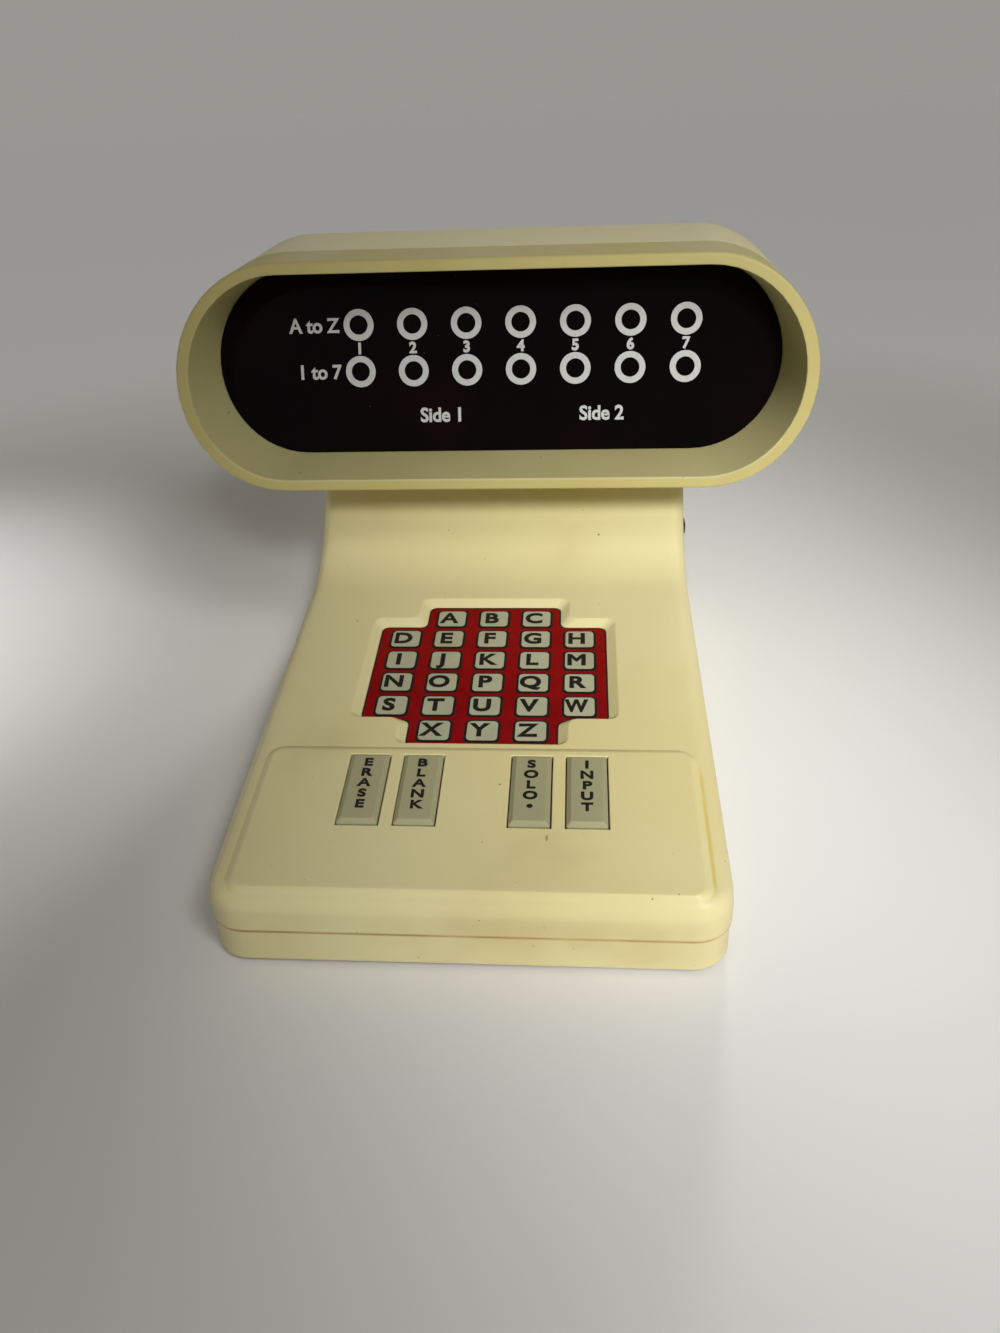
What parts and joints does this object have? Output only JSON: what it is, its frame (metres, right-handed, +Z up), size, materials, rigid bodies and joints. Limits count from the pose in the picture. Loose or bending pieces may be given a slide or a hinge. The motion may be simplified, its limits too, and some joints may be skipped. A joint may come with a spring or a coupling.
{
  "type": "electronic word game",
  "caption": "Table-top electronic word game: sloped base with a letter keypad and long push buttons, a neck, and a wide round-ended display head with a deep hood.",
  "frame": {"origin": "on the table, under the middle of the object's box", "axes": "+X to the right seen from the player, +Y away from the player, +Z up"},
  "size_m": [0.201, 0.2179, 0.1439],
  "materials": {
    "cream_plastic": "satin moulded plastic, yellowed cream",
    "hood_plastic": "satin moulded plastic, darker cream",
    "window_plastic": "glossy dark red filter",
    "keypad_red": "printed film",
    "film": "polyester film",
    "button_plastic": "satin moulded plastic, grey olive",
    "dark_rubber": "moulded rubber",
    "circuit_board": "glass epoxy board",
    "dark_plastic": "black moulded plastic",
    "lamp_red": "clear red epoxy",
    "speaker_metal": "pressed steel",
    "battery_case": "painted steel",
    "lead_insulation": "flexible insulation",
    "screw_steel": "plated steel"
  },
  "bodies": {
    "case": {"lower_case": "cream_plastic", "upper_case": "cream_plastic", "head_shell": "cream_plastic", "head_bezel": "hood_plastic", "display_lens": "window_plastic", "keypad_overlay": "keypad_red", "keypad_spacer": "film", "keypad_circuit": "film", "keypad_tail": "film", "display_ribbon": "film", "button_mat": "dark_rubber", "rubber_feet": "dark_rubber", "led_board": "circuit_board", "button_board": "circuit_board", "main_board": "circuit_board", "led_spacer": "dark_plastic", "tail_socket": "dark_plastic", "controller_chip": "dark_plastic", "board_parts": "dark_plastic", "switch_body": "dark_plastic", "battery_snap": "dark_plastic", "upper_leds": "lamp_red", "lower_leds": "lamp_red", "speaker": "speaker_metal", "battery_block": "battery_case", "battery_leads": "lead_insulation", "case_screws": "screw_steel", "neck_screws": "screw_steel", "head_screws": "screw_steel", "main_board_screws": "screw_steel", "button_board_screws": "screw_steel", "display_board_screws": "screw_steel"},
    "clear_button": {"clear_button": "button_plastic"},
    "space_button": {"space_button": "button_plastic"},
    "auto_button": {"auto_button": "button_plastic"},
    "enter_button": {"enter_button": "button_plastic"},
    "switch_knob": {"switch_knob": "dark_plastic"},
    "battery_door": {"battery_door": "cream_plastic"}
  },
  "joints": [
    {"name": "clear_button_press", "type": "slide", "parent": "case", "child": "clear_button", "axis": [0, 0.1444, -0.9895], "range_m": [0, 0.0015], "stiffness_N_per_m": 400, "deforming": ["button_mat"]},
    {"name": "space_button_press", "type": "slide", "parent": "case", "child": "space_button", "axis": [0, 0.1444, -0.9895], "range_m": [0, 0.0015], "stiffness_N_per_m": 400, "deforming": ["button_mat"]},
    {"name": "auto_button_press", "type": "slide", "parent": "case", "child": "auto_button", "axis": [0, 0.1444, -0.9895], "range_m": [0, 0.0015], "stiffness_N_per_m": 400, "deforming": ["button_mat"]},
    {"name": "enter_button_press", "type": "slide", "parent": "case", "child": "enter_button", "axis": [0, 0.1444, -0.9895], "range_m": [0, 0.0015], "stiffness_N_per_m": 400, "deforming": ["button_mat"]},
    {"name": "power_slide", "type": "slide", "parent": "case", "child": "switch_knob", "axis": [0, 1, 0], "range_m": [-0.002, 0.002]},
    {"name": "battery_door_slide", "type": "slide", "parent": "case", "child": "battery_door", "axis": [0, 1, 0], "range_m": [0, 0.042]}
  ]
}
